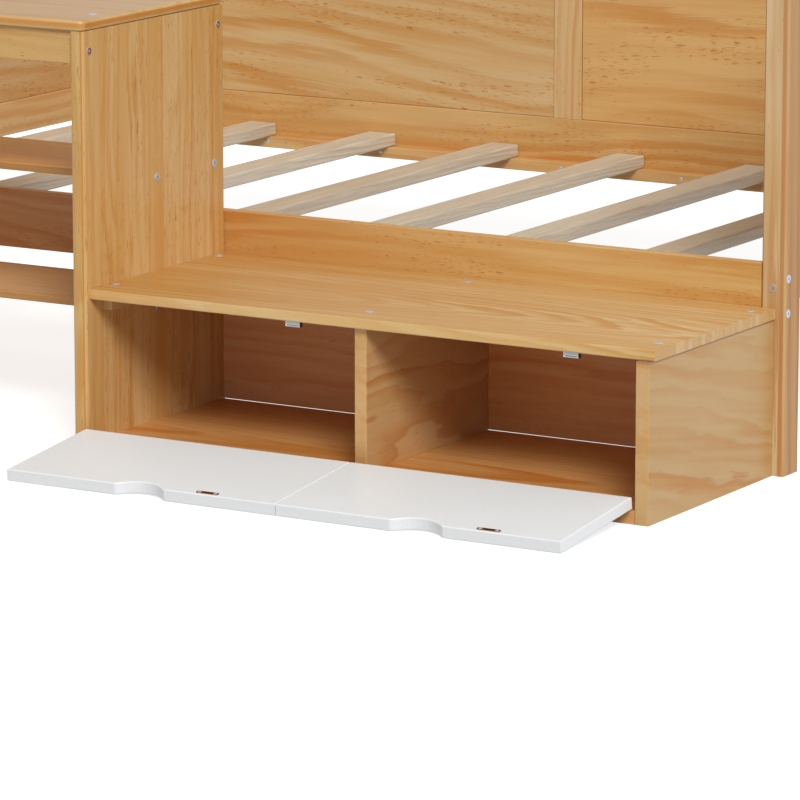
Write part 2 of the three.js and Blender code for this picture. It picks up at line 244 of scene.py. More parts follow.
# What a board can tell the grain, and what holds where it doesn't. Lengths are in metres.
GRAIN_INPUTS = {
    "Place": ("NodeSocketVector", None),
    "Seed": ("NodeSocketFloat", 0.0),
    "Pith Across": ("NodeSocketFloat", 0.0),
    "Pith Depth": ("NodeSocketFloat", -0.06),
    "Lean": ("NodeSocketFloat", 0.0),
    "Slope": ("NodeSocketFloat", 0.04),
    "Ring": ("NodeSocketFloat", 0.012),
    "Wave": ("NodeSocketFloat", 0.012),
    "Ripple": ("NodeSocketFloat", 0.12),
    "Contrast": ("NodeSocketFloat", 0.8),
    "Flecks": ("NodeSocketFloat", 0.6),
    "Fleck Steps": ("NodeSocketVector", (46.0, 400.0, 400.0)),
    "Tone": ("NodeSocketFloat", 0.45),
    "Patch": ("NodeSocketFloat", 2.0),
    "Stripe": ("NodeSocketFloat", 0.5),
    "Fibre": ("NodeSocketFloat", 0.12),
    "Outline": ("NodeSocketFloat", 0.2),
    "Feather": ("NodeSocketFloat", 0.35),
    "Stave": ("NodeSocketFloat", 10.0),
    "End Grain": ("NodeSocketFloat", 0.0),
    "Tint": ("NodeSocketColor", (1.0, 1.0, 1.0, 1.0)),
    "Pale": ("NodeSocketColor", linear(PINE_PALE)),
    "Honey": ("NodeSocketColor", linear(PINE_HONEY)),
    "Band": ("NodeSocketColor", linear(PINE_BAND)),
    "Fleck": ("NodeSocketColor", linear(PINE_FLECK)),
}
GRAIN_OUTPUTS = {"Color": "NodeSocketColor", "Roughness": "NodeSocketFloat", "Height": "NodeSocketFloat"}


def grain_group():
    """Sawn softwood as a solid texture. Place is in metres, with X along the grain."""
    tree = bpy.data.node_groups.new("pine_grain", "ShaderNodeTree")
    for name, (kind, value) in GRAIN_INPUTS.items():
        socket = tree.interface.new_socket(name, in_out="INPUT", socket_type=kind)
        if value is not None:
            socket.default_value = value
    for name, kind in GRAIN_OUTPUTS.items():
        tree.interface.new_socket(name, in_out="OUTPUT", socket_type=kind)
    t = Tree(tree)
    given = t.add("NodeGroupInput").outputs
    u, v, w = t.separate(given["Place"])
    v = t.math("ADD", v, t.math("MULTIPLY", u, given["Lean"]))

    # Which glued stave a point is in, and the stave's own random numbers.
    stave = t.math("FLOOR", t.math("ADD", t.math("DIVIDE", v, given["Stave"]), 0.5))
    in_stave = t.math("SUBTRACT", v, t.math("MULTIPLY", stave, given["Stave"]))
    stave_seed = t.math("ADD", given["Seed"], t.math("MULTIPLY", stave, STAVE_SEED_STEP))
    stave_random = t.separate(t.random(stave_seed)["Color"])
    shift = t.combine(*(t.math("MULTIPLY", stave_seed, step) for step in STAVE_SHIFT))
    place = t.vector("ADD", t.combine(u, in_stave, w), shift)

    def figure(repeats, detail=2.0, roughness=0.5):
        return t.noise(t.vector("MULTIPLY", place, repeats), detail=detail, roughness=roughness)

    # Distance from the wandering pith, counted in growth rings.
    wander = figure(WANDER, detail=1.5)["Color"]
    ripple = figure(RIPPLE)["Color"]
    wander_v, wander_w, _ = t.separate(t.vector("SUBTRACT", wander, MIDDLE))
    ripple_v, ripple_w, _ = t.separate(t.vector("SUBTRACT", ripple, MIDDLE))
    wave = t.math("MULTIPLY", given["Wave"], WAVE_GAIN)

    def pushed(value, far, near):
        bend = t.math("ADD", far, t.math("MULTIPLY", near, given["Ripple"]))
        return t.math("ADD", value, t.math("MULTIPLY", bend, wave))

    stave_offset = t.math("MULTIPLY", t.math("SUBTRACT", stave_random[0], 0.5), given["Stave"])
    stave_offset = t.math("MINIMUM", stave_offset, PITH_REACH)
    stave_offset = t.math("MAXIMUM", stave_offset, -PITH_REACH)
    across = t.math("SUBTRACT", in_stave, t.math("ADD", given["Pith Across"], stave_offset))
    across = pushed(across, wander_v, ripple_v)
    depth = t.math("ADD", t.math("SUBTRACT", w, given["Pith Depth"]), t.math("MULTIPLY", u, given["Slope"]))
    depth = pushed(depth, wander_w, ripple_w)
    radius_square = t.math("ADD", t.math("MULTIPLY", across, across), t.math("MULTIPLY", depth, depth))
    fibre = figure(FIBRE, roughness=0.6)["Fac"]
    streak = figure(STREAK)["Fac"]
    rings = t.math("DIVIDE", t.math("SQRT", radius_square), given["Ring"])
    rough = t.math("ADD", t.math("MULTIPLY", streak, STREAK_WEIGHT), fibre)
    rough = t.math("SUBTRACT", rough, (STREAK_WEIGHT + 1) / 2)
    rings = t.math("ADD", rings, t.math("MULTIPLY", rough, given["Feather"]))
    ring = t.math("FRACT", rings)
    ring_seed = t.math("ADD", t.math("FLOOR", rings), stave_seed)
    ring_strength = t.math("MULTIPLY", t.random(ring_seed)["Value"], 1 - RING_FAINTEST)
    ring_strength = t.math("ADD", ring_strength, RING_FAINTEST)
    fade = figure(FADE, detail=1.0)["Fac"]
    ring_strength = t.math("MULTIPLY", ring_strength, t.smooth(fade, *FADE_STEP))
    late = t.math("MULTIPLY", t.smooth(ring, *LATE_RISE), t.smooth(ring, *LATE_FALL))
    late = t.math("MULTIPLY", late, ring_strength)
    outline = t.math("MULTIPLY", t.smooth(ring, *OUTLINE_RISE), t.smooth(ring, *OUTLINE_FALL))
    outline = t.math("MULTIPLY", outline, ring_strength)

    # Broad patches of tone, stripes, fine fibres, and short resin flecks in drifts.
    patch = figure(PATCH)["Fac"]
    stripes = figure(STRIPE)["Fac"]
    drift = figure(DRIFT, detail=1.0)["Fac"]
    crumple = t.vector("SUBTRACT", figure(CRUMPLE, detail=1.0)["Color"], MIDDLE)
    bent = t.vector("ADD", place, t.vector("MULTIPLY", crumple, CRUMPLE_REACH))
    cells = t.add("ShaderNodeTexVoronoi",
                  {"Vector": t.vector("MULTIPLY", bent, given["Fleck Steps"]), "Scale": 1.0}).outputs
    cell_random, cell_shade, _ = t.separate(cells["Color"])
    reach = t.math("MULTIPLY", cell_random, t.smooth(drift, *DRIFT_STEP))
    reach = t.math("MULTIPLY", reach, given["Flecks"])
    inside = t.math("SUBTRACT", reach, cells["Distance"])
    fleck = t.math("MULTIPLY", t.smooth(inside, *FLECK_STEP), t.smooth(cell_shade, *FLECK_SHADES))

    def swing(value, strength):
        return t.math("MULTIPLY", t.math("SUBTRACT", value, 0.5), strength)

    block = t.math("ADD", t.math("FLOOR", t.math("DIVIDE", v, END_GRAIN_BLOCK)), given["Seed"])
    contrast = t.math("MULTIPLY", given["Contrast"], t.math("SUBTRACT", 1.0, given["End Grain"]))
    tone = given["Tone"]
    stripe_tone = t.math("MULTIPLY", given["Stripe"], STRIPE_TONE)
    end_grain_tone = t.math("MULTIPLY", given["End Grain"], END_GRAIN_TONE)
    for value, strength in ((patch, given["Patch"]), (stave_random[1], STAVE_TONE),
                            (streak, STREAK_TONE), (stripes, stripe_tone),
                            (t.random(block)["Value"], end_grain_tone)):
        tone = t.math("ADD", tone, swing(value, strength))
    colour = t.mix(t.smooth(tone, 0.0, 1.0), given["Pale"], given["Honey"])
    colour = t.mix(t.math("MULTIPLY", late, contrast), colour, given["Band"])
    outline = t.math("MULTIPLY", outline, t.math("MULTIPLY", contrast, given["Outline"]))
    colour = t.mix(outline, colour, given["Fleck"])
    colour = t.mix(t.math("MULTIPLY", fleck, FLECK_STRENGTH), colour, given["Fleck"])
    light = t.math("ADD", 1.0, swing(fibre, given["Fibre"]))
    colour = t.vector("MULTIPLY", colour, t.combine(light, light, light))
    colour = t.vector("MULTIPLY", colour, given["Tint"])

    raised = t.math("MULTIPLY", fibre, FIBRE_HEIGHT)
    height = t.math("SUBTRACT", raised, t.math("MULTIPLY", fleck, FLECK_DEPTH))
    height = t.math("ADD", height, t.math("MULTIPLY", late, LATE_HEIGHT))
    shine = t.smooth(fibre, *SHINE_STEP)
    t.add("NodeGroupOutput", {"Color": colour, "Roughness": shine, "Height": height})
    return tree


GRAIN = grain_group()


def new_material(name):
    """A material, its node tree and its surface shader, joined to its output."""
    material = bpy.data.materials.new(name)
    t = emptied(material)
    surface = t.add("ShaderNodeBsdfPrincipled")
    t.add("ShaderNodeOutputMaterial", {"Surface": surface.outputs[0]})
    return material, t, surface


# The share of a line's reach that is at its full strength, and that strength.
LINE_CORE_SHARE = 0.4
LINE_STRENGTH = 0.8

# How strong each surface's bumps are, and how high in metres.
WOOD_BUMP = (0.12, 0.4 * MM)
METAL_BUMP = (0.1, 0.05 * MM)
PAINT_BUMP = (0.08, 0.2 * MM)

# How fine a metal's polish is, between which of its values it counts and how much it changes
# the roughness, and how fine and dark the stain is. Then the same of the faint clouds in paint.
POLISH_SCALE = 900.0
POLISH_STEP = (0.2, 0.8)
POLISH_RANGE = (0.8, 1.3)
STAIN_SCALE = 160.0
STAIN_SHADE = 0.9
CLOUD_SCALE = 6.0
CLOUD_STEP = (0.3, 0.7)
CLOUD_RANGE = (0.9, 1.1)
CLOUD_SHADE = 0.985

# The shares of a painted face's normal along Z and along X between which its colour changes.
UPRIGHT_STEP = (0.4, 0.8)
SIDEWAYS_STEP = (0.5, 0.9)


def wood(name, along, node, flat="y", lines=(), tint=(1, 1, 1), ends=None, edge=None, cut=None,
         **look):
    """A material for one board. flat is the way that the board's broad face looks, tint or ends
    the tint of that face all over or at the low and high end of its grain, edge and cut the
    tints of its narrow faces and of its ends, and lines the axes, places, reaches and colours
    of lines along it."""
    material, t, surface = new_material(name)
    low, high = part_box(node)
    centre = (low + high) / 2
    given = t.add("ShaderNodeTexCoord").outputs
    facing = dict(zip("xyz", t.separate(given["Normal"])))
    places = dict(zip("xyz", t.separate(given["Object"])))
    axes = dict(zip("xyz", t.separate(t.vector("SUBTRACT", given["Object"], tuple(centre)))))
    across = ({"x", "y", "z"} - {along, flat}).pop()
    place = t.combine(axes[along], axes[across], axes[flat])
    group = t.add("ShaderNodeGroup", node_tree=GRAIN)
    t.feed(group.inputs["Place"], place)
    sawn = t.facing(facing[along])
    t.feed(group.inputs["End Grain"], t.math("MULTIPLY", sawn, END_GRAIN_SHARE))
    for key, value in look.items():
        t.feed(group.inputs[key.replace("_", " ").title()], value)
    tint = (*tint, 1.0)
    if ends:
        half = (high - low)["xyz".index(along)] / 2
        low_end, high_end = ((*end, 1.0) for end in ends)
        tint = t.mix(t.smooth(axes[along], -half, half), low_end, high_end)
    if edge:
        tint = t.mix(t.facing(facing[flat]), (*edge, 1.0), tint)
        tint = t.mix(sawn, tint, (*(cut or edge), 1.0))
    t.feed(group.inputs["Tint"], tint)
    colour = group.outputs["Color"]
    for axis, value, reach, line_colour in lines:
        gap = t.math("ABSOLUTE", t.math("SUBTRACT", places[axis], value))
        share = t.smooth(gap, reach * LINE_CORE_SHARE, reach, LINE_STRENGTH, 0.0)
        colour = t.mix(share, colour, linear(line_colour))
    t.feed(surface.inputs["Base Color"], colour)
    t.feed(surface.inputs["Roughness"], group.outputs["Roughness"])
    t.feed(surface.inputs["Normal"], t.bump(*WOOD_BUMP, group.outputs["Height"]))
    return material


def dress(node, material):
    """Gives a carried-over CAD node its material."""
    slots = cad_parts[node].data.materials
    slots.clear()
    slots.append(material)


def shaded(colour, share):
    """A seen colour made darker, as Blender's linear one."""
    return linear([value * share for value in colour])


def metal(name, colour, roughness, metallic=1.0):
    """Plated metal with fine uneven polish."""
    material, t, surface = new_material(name)
    where = t.add("ShaderNodeTexCoord").outputs["Object"]
    polish = t.noise(where, scale=POLISH_SCALE, detail=3.0)["Fac"]
    stain = t.noise(where, scale=STAIN_SCALE)["Fac"]
    smoothest, roughest = (roughness * share for share in POLISH_RANGE)
    t.feed(surface.inputs["Base Color"], t.mix(stain, linear(colour), shaded(colour, STAIN_SHADE)))
    t.feed(surface.inputs["Roughness"], t.smooth(polish, *POLISH_STEP, smoothest, roughest))
    t.feed(surface.inputs["Normal"], t.bump(*METAL_BUMP, polish))
    surface.inputs["Metallic"].default_value = metallic
    return material


def paint(name, colour, roughness, peel_scale, upright=None, sideways=None):
    """Lacquer or moulded plastic with a faint orange-peel surface. upright is the colour of the
    faces that look level, sideways of those that look along X; on the doors both are painted
    shade on their edges and ends, and on the catches sideways is painted shade on their sides."""
    material, t, surface = new_material(name)
    given = t.add("ShaderNodeTexCoord").outputs
    where = given["Object"]
    facing_x, _, facing_z = t.separate(given["Normal"])
    peel = t.noise(where, scale=peel_scale)["Fac"]
    cloud = t.noise(where, scale=CLOUD_SCALE)["Fac"]
    smoothest, roughest = (roughness * share for share in CLOUD_RANGE)
    shade = t.mix(cloud, linear(colour), shaded(colour, CLOUD_SHADE))
    if upright:
        shade = t.mix(t.facing(facing_z, *UPRIGHT_STEP), linear(upright), shade)
    if sideways:
        shade = t.mix(t.facing(facing_x, *SIDEWAYS_STEP), shade, linear(sideways))
    t.feed(surface.inputs["Base Color"], shade)
    t.feed(surface.inputs["Roughness"], t.smooth(cloud, *CLOUD_STEP, smoothest, roughest))
    t.feed(surface.inputs["Normal"], t.bump(*PAINT_BUMP, peel))
    return material


# Figures that several boards share.
PANEL = dict(flecks=1.1, wave=0.035, ring=0.045, pith_across=-0.45, contrast=1.2, stripe=0.2)
RAIL = dict(flecks=1.0, fleck_steps=(60.0, 520.0, 520.0), wave=0.025, ring=0.022, contrast=1.2, tone=0.5)
STAVES = dict(stave=0.043, flecks=1.0, fleck_steps=(30.0, 520.0, 400.0), ring=0.022, slope=0.01,
              pith_depth=-0.02, pith_across=0.1, wave=0.035, contrast=0.8, patch=2.4, feather=0.6)
POST = dict(flecks=0.4, ring=0.0208, wave=0.008, slope=0.012, pith_across=0.03, pith_depth=0.045,
            contrast=1.0, band=linear(POST_BAND), tint=(1.0, 1.17, 1.5), edge=(0.79, 0.68, 0.47))
SLAT = dict(flecks=0.1, ring=0.006, wave=0.006, contrast=0.9, fibre=0.7, tint=(1.0, 1.02, 1.04),
            pale=linear(SLAT_PALE), honey=linear(SLAT_HONEY), band=linear(SLAT_BAND))

# Each board's grain: the way it runs, the way its broad face looks, and its own figure.
BOARDS = {
    # The front rail is darker and redder towards its left end, a painted shade where it lies behind the
    # desk.
    "rail_front": ("x", "y", dict(RAIL, seed=1.0, ends=((0.83, 0.7, 0.69), (0.98, 0.97, 0.81)),
                                  edge=(0.97, 0.93, 0.75))),
    "rail_back": ("x", "y", dict(RAIL, seed=2.0, tint=(1.0, 0.95, 0.82))),
    "rail_back_top": ("x", "y", dict(RAIL, seed=3.0, flecks=0.6)),
    "ledge_front": ("x", "z", dict(seed=4.0)),
    "ledge_back": ("x", "z", dict(seed=5.0, contrast=1.2, tint=(1.02, 0.95, 0.82))),
    "panel_back_left": ("x", "y", dict(PANEL, seed=6.0, lean=0.08, tint=(1.03, 1.12, 1.25))),
    "panel_back_right": ("x", "y", dict(PANEL, seed=7.0, lean=-0.03, contrast=0.9, tint=(1.06, 0.98, 0.8))),
    "stile_back": ("z", "y", dict(seed=8.0, tone=0.3, tint=(1.03, 1.04, 1.05))),
    # The bench top's tint from end to end is partly the wood's own tone and partly painted light: darker
    # and warmer at its left end, painted shade and bounce light from the desk beside it, and paler and
    # bluer at its right end, a painted sheen.
    "bench_top": ("x", "z", dict(seed=9.0, ring=0.011, wave=0.016, slope=0.09, pith_across=-0.11,
                                 pith_depth=-0.05, flecks=0.3, stripe=1.6, contrast=1.8, patch=1.6,
                                 edge=(1.08, 1.28, 1.55), cut=(1.025, 1.056, 1.07),
                                 ends=((0.91, 0.85, 0.68), (1.09, 1.2, 1.34)))),
    "bench_side": ("y", "x", dict(seed=10.0, flecks=0.2, pith_across=-0.5, pith_depth=-0.03, lean=0.18,
                                  wave=0.035, ripple=0.3, ring=0.035, contrast=1.1, tone=0.35,
                                  patch=2.6, feather=0.25, tint=(0.85, 0.81, 0.7),
                                  band=linear(BENCH_SIDE_BAND), edge=(0.9, 0.85, 0.777))),
    "bench_floor": ("x", "z", dict(seed=11.0, contrast=1.3, tint=(1.06, 0.85, 0.66))),
    "bench_divider": ("y", "x", dict(seed=12.0, wave=0.05, ring=0.026, contrast=0.9, outline=0.7,
                                     feather=0.08, slope=0.15, fleck=linear(DIVIDER_CONTOUR),
                                     tint=(0.95, 0.9, 0.89), edge=(0.888, 0.81, 0.676))),
    "bench_back": ("x", "y", dict(seed=13.0, wave=0.04, ring=0.03,
                                  ends=((1.2, 1.02, 1.18), (1.23, 0.91, 0.82)))),
    "bench_cleat": ("y", "z", dict(seed=14.0)),
    "desk_side_left": ("z", "x", dict(STAVES, seed=15.0)),
    "desk_side_right": ("z", "x", dict(STAVES, seed=16.0, tint=(1.05, 1.065, 1.02),
                                       edge=(0.955, 0.996, 0.898))),
    "desk_top": ("x", "z", dict(seed=17.0, stripe=1.6, tone=0.2, tint=(0.82, 0.79, 0.815),
                                edge=(0.984, 0.948, 0.75))),
    "desk_apron_front": ("x", "y", dict(seed=18.0, tint=(0.875, 0.817, 0.59))),
    "desk_apron_back": ("x", "y", dict(seed=19.0, tint=(0.9, 0.85, 0.82))),
    "desk_shelf_upper": ("x", "z", dict(seed=20.0, tint=(1.45, 1.17, 0.67), edge=(0.69, 0.5, 0.25))),
    "desk_shelf_lower": ("x", "z", dict(seed=21.0, contrast=0.6, tint=(1.04, 0.97, 0.95),
                                        edge=(0.69, 0.555, 0.33))),
}
for index, side in enumerate(SIDES):
    for place, seed in (("front", 30.0), ("back", 31.0)):
        BOARDS[f"post_{place}_{side}"] = ("z", "y", dict(POST, seed=seed + 3 * index))
    for level, seed in (("end", 43.0), ("end_top", 47.0)):
        BOARDS[f"rail_{level}_{side}"] = ("y", "x", dict(RAIL, seed=seed + 3 * index))
    BOARDS[f"panel_end_{side}"] = ("y", "x", dict(PANEL, seed=50.0 + index, tint=(0.93, 0.99, 1.18)))
for number in range(1, SLATS + 1):
    BOARDS[f"slat_{number}"] = ("y", "z", dict(SLAT, seed=60.0 + number))


# The lines on the boards: how far each is below or inside the board's high edge, its reach to
# either side, both in millimetres, and its colour.
BENCH_SIDE_SHADOW = (0, 4, SHADE)
DESK_TOP_LINE = (8, 5, PINE_EDGE_DARK)
# The glint is a painted highlight round the desk top's edge.
DESK_TOP_GLINT = (15, 2.5, DESK_EDGE_GLINT)
DESK_SIDE_LINE = (4.5, 2, PINE_EDGE_DARK)
POST_VEIN = (6.5, 5, PINE_VEIN)
# How far the painted shade along the panels' joints reaches to either side.
SEAM_SHADE_REACH = 1.5 * MM


def line_in(node, axis, line):
    """A line in a board, measured from its high edge along an axis."""
    inside, reach, colour = line
    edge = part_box(node)[1]["xyz".index(axis)]
    return axis, edge - inside * MM, reach * MM, colour


def board_lines():
    """Painted shade along the panels' joints and a painted shadow under the bench top's end, a
    dark line and a painted highlight that run round the desk top's edge, the line down its
    side's front edge, and a post's dark vein."""
    lines = {
        "bench_side": [line_in("bench_side", "z", BENCH_SIDE_SHADOW)],
        "desk_top": [line_in("desk_top", "z", line) for line in (DESK_TOP_LINE, DESK_TOP_GLINT)],
        "desk_side_right": [line_in("desk_side_right", "x", DESK_SIDE_LINE)],
        "post_front_right": [line_in("post_front_right", "x", POST_VEIN)],
    }
    panel_edges = (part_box("rail_back")[1].z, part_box("rail_back_top")[0].z)
    for side, stile_edge in zip(SIDES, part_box("stile_back")):
        # Painted shade along each panel's joints with the rails and the stile.
        seam_shades = [("z", z, SEAM_SHADE_REACH, SEAM_SHADE) for z in panel_edges]
        lines[f"panel_end_{side}"] = seam_shades
        lines[f"panel_back_{side}"] = [*seam_shades, ("x", stile_edge.x, SEAM_SHADE_REACH, SEAM_SHADE)]
    return lines


def dress_boards():
    """Gives each board its own pine."""
    lines = board_lines()
    for node, (along, flat, look) in BOARDS.items():
        dress(node, wood(node + "_pine", along, node, flat, lines.get(node, ()), **look))


# Each metal's colour, roughness and how metallic it is.
METALS = {
    "bright": metal("zinc_plate", ZINC, 0.35, 0.55),
    # Painted shade in the sockets and cross recesses.
    "socket_shade": metal("painted_socket_shade", SOCKET_SHADE_GREY, 0.4, 0.7),
    # A painted shadow in the recessed bolts' counterbores, and a painted reflection of the wood on their
    # middles.
    "counterbore_shade": metal("painted_counterbore_shadow", COUNTERBORE_SHADOW, 0.5, 0.3),
    "wood_reflection": metal("painted_wood_reflection", BOLT_WOOD_REFLECTION, 0.45, 0.3),
    "matte": metal("bolt_matte", BOLT_MATTE, 0.5, 0.2),
    "dull": metal("bolt_dull", BOLT_DULL, 0.5, 0.2),
    "blush": metal("bolt_blush", BOLT_BLUSH, 0.5, 0.2),
    "pole": metal("pole_plate", POLE_BLUE, 0.35, 0.6),
    "pole_gap_shade": metal("pole_gap_shade", POLE_GAP_SHADE, 0.5, 0.3),
}


def dress_fittings():
    """Gives the doors, catches, strike plates and hinges their materials."""
    # The doors' edges and ends take a painted shade.
    white = paint("white_lacquer", LACQUER, roughness=0.38, peel_scale=900.0,
                  upright=LACQUER_EDGE_SHADE, sideways=LACQUER_END_SHADE)
    # The catches' sides are dark red, a painted shade.
    plastic = paint("catch_plastic", PLASTIC, roughness=0.45, peel_scale=1500.0,
                    sideways=CATCH_SIDE_SHADE)
    bronze = metal("strike_plate", STRIKE_BRONZE, roughness=0.12)
    for side in SIDES:
        dress(f"door_{side}", white)
        dress(f"strike_{side}", bronze)
        dress(f"catch_{side}", plastic)
        for hinge in HINGES:
            for piece in ("door_leaf", "floor_leaf", "pin"):
                dress(f"hinge_{side}_{hinge}_{piece}", METALS["bright"])


# Fastener heads as rings from the rim to the middle: radius and height in millimetres, the
# outline, and the metal from that ring inward.
# The darker metal of the sockets and cross recesses in these heads is painted shade.
BOLT = (
    (6.5, 0.0, "round", "bright"), (6.5, 0.45, "round", "bright"), (6.15, 0.8, "round", "bright"),
    (5.4, 0.95, "round", "bright"), (3.0, 0.95, "round", "bright"), (1.8, 0.9, "hex", "socket_shade"),
    (1.7, 0.6, "hex", "socket_shade"), (0.7, 0.55, "round", "socket_shade"),
)
FLAT_BOLT = (
    (6.5, 0.0, "round", "bright"), (6.5, 0.5, "round", "bright"), (6.2, 0.8, "round", "bright"),
    (5.6, 0.9, "round", "bright"), (1.9, 0.9, "hex", "socket_shade"), (1.8, 0.7, "hex", "socket_shade"),
)
# In the recessed bolt, the dark rings are a painted shadow in its counterbore, and the pale middle a
# painted reflection of the wood round it.
RECESSED_BOLT = (
    (6.2, 0.0, "round", "bright"), (6.2, 0.6, "round", "bright"), (6.0, 0.8, "round", "bright"),
    (5.3, 0.75, "round", "counterbore_shade"), (5.1, 0.3, "round", "counterbore_shade"), (2.9, 0.3, "round", "counterbore_shade"),
    (2.7, 0.5, "round", "wood_reflection"), (2.2, 0.6, "round", "wood_reflection"), (1.2, 0.58, "hex", "wood_reflection"),
    (1.1, 0.4, "hex", "wood_reflection"),
)
PAN_SCREW = (
    (3.1, 0.0, "round", "bright"), (3.1, 0.25, "round", "bright"), (2.8, 0.75, "round", "bright"),
    (2.2, 1.1, "round", "bright"), (1.9, 1.15, "cross", "socket_shade"), (1.5, 0.7, "cross", "socket_shade"),
    (0.4, 0.65, "round", "socket_shade"),
)
DULL_BOLT = (
    (6.5, 0.0, "round", "dull"), (6.5, 0.35, "round", "dull"), (6.2, 0.55, "round", "dull"),
    (5.0, 0.6, "round", "dull"), (3.2, 0.6, "round", "blush"), (1.9, 0.55, "hex", "blush"),
    (1.8, 0.35, "hex", "blush"),
)
STRIKE_SCREW = (
    (2.8, 0.0, "round", "matte"), (2.8, 0.18, "round", "matte"), (2.5, 0.32, "round", "matte"),
    (1.5, 0.34, "round", "matte"), (1.3, 0.32, "cross", "socket_shade"), (1.0, 0.2, "cross", "socket_shade"),
    (0.3, 0.2, "round", "socket_shade"),
)
HINGE_SCREW = (
    (2.4, 0.0, "round", "bright"), (2.4, 0.12, "round", "bright"), (2.1, 0.24, "round", "bright"),
    (1.3, 0.26, "round", "bright"), (1.1, 0.24, "cross", "socket_shade"), (0.9, 0.12, "cross", "socket_shade"),
    (0.3, 0.12, "round", "socket_shade"),
)
HEAD_STEPS = 36

# A cross recess's waist as a share of its reach, and how pointed its arms are. How far each head
# is turned from the one before it, in radians.
CROSS_WAIST = 0.36
CROSS_POINT = 3
HEAD_TURN = 0.83

# Where the fasteners stand, as in the photo where it shows them: distances from a board's edge
# in millimetres, and places along the bed and heights in metres.
APRON_BOLTS_FROM_FRONT = (16, 371.8)
APRON_BOLT_HEIGHT = 0.610
SHELF_BOLTS_FROM_FRONT = (197, 359)
SHELF_BOLT_HEIGHTS = (0.3956, 0.195)
DESK_TOP_BOLT_FROM_END = 30.5
DESK_TOP_BOLTS_FROM_FRONT = (74, 320)
BENCH_BOLT_PLACES = (0.017, 0.4625, 0.940)
BENCH_BOLTS_FROM_FRONT = (54, 342.5)
SIDE_BOLT_FROM_FACE = 9
SIDE_BOLT_HEIGHTS = (0.296, 0.244)
TOP_SIDE_BOLT_HEIGHTS = (0.932, 0.898)
END_BOLT_PLACE = 0.957
END_BOLT_HEIGHT = 0.2815
TOP_END_BOLT_HEIGHT = 0.915
LEDGE_SCREW_PLACES = (-0.84, -0.599, -0.364, 0.0, 0.235, 0.48, 0.72)
LEDGE_SCREW_HEIGHT = 0.234
STRIKE_SCREW_FROM_MIDDLE = 13.4
STRIKE_SCREW_RISE = 0.5
HINGE_SCREW_FROM_END = 9
HINGE_SCREW_FROM_PIN = 8.5

# The pieces in a magnetic catch's face: how far above the catch's bottom they start, how thick
# they are and how far they stand proud, in millimetres, and their metal. The catch's wall takes
# some of their length, and their middle is a little right of the catch's. Then the plates'
# rounded corners, the bevel round their face, and the share of them below it.
CATCH_LAYERS = (
    ("upper_pole", 4.8, 4.6, 0.12, "pole"),
    # The gap between the poles is a dull strip of painted shade.
    ("pole_gap_shade", 2.0, 1.0, 0.04, "pole_gap_shade"),
    ("lower_pole", 1.0, 1.0, 0.12, "pole"),
)
CATCH_WALL = 3.6
CATCH_LAYER_SHIFT = 0.6
PLATE_CORNER = 0.6
PLATE_BEVEL = 0.1
PLATE_SIDE_SHARE = 0.6


def finished(name, mesh, metals):
    """A built mesh as an object's data, with its metals."""
    data = bpy.data.meshes.new(name)
    mesh.to_mesh(data)
    mesh.free()
    for metal_name in metals:
        data.materials.append(METALS[metal_name])
    return data


def add_piece(data, place, body="bed"):
    """A steel piece of the mesh's name, moved to its place and riding on a body."""
    piece = bpy.data.objects.new(data.name, data)
    data.transform(place)
    bpy.context.scene.collection.objects.link(piece)
    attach(piece, body)


def outline_radius(radius, shape, angle):
    """How far a head's ring reaches at an angle."""
    if shape == "hex":
        return radius / math.cos((angle % (math.pi / 3)) - math.pi / 6)
    if shape == "cross":
        arm = abs(math.cos(2 * angle)) ** CROSS_POINT
        return radius * (CROSS_WAIST + (1 - CROSS_WAIST) * arm)
    return radius


def head_mesh(name, profile):
    """A closed head about +Z with its back on Z = 0."""
    metals = list(dict.fromkeys(metal_name for *_, metal_name in profile))
    mesh = bmesh.new()
    rings = []
    for radius, height, shape, _ in profile:
        ring = []
        for step in range(HEAD_STEPS):
            angle = 2 * math.pi * step / HEAD_STEPS
            reach = outline_radius(radius, shape, angle) * MM
            ring.append(mesh.verts.new((reach * math.cos(angle), reach * math.sin(angle), height * MM)))
        rings.append(ring)
    back = mesh.verts.new((0, 0, 0))
    middle = mesh.verts.new((0, 0, profile[-1][1] * MM))
    for step in range(HEAD_STEPS):
        after = (step + 1) % HEAD_STEPS
        mesh.faces.new((back, rings[0][after], rings[0][step]))
        for (outer, inner), (*_, metal_name) in zip(zip(rings, rings[1:]), profile):
            face = mesh.faces.new((outer[step], outer[after], inner[after], inner[step]))
            face.material_index = metals.index(metal_name)
        face = mesh.faces.new((rings[-1][step], rings[-1][after], middle))
        face.material_index = len(metals) - 1
    return finished(name, mesh, metals)


def numbered(name, profile, spots, normal, body="bed"):
    """Fastener heads on a face, at spots in metres."""
    aim = Vector(normal).to_track_quat("Z", "Y").to_matrix().to_4x4()
    for number, spot in enumerate(spots, 1):
        turn = Matrix.Rotation(number * HEAD_TURN, 4, "Z")
        head = head_mesh(f"{name}_{number}", profile)
        add_piece(head, Matrix.Translation(spot) @ aim @ turn, body)


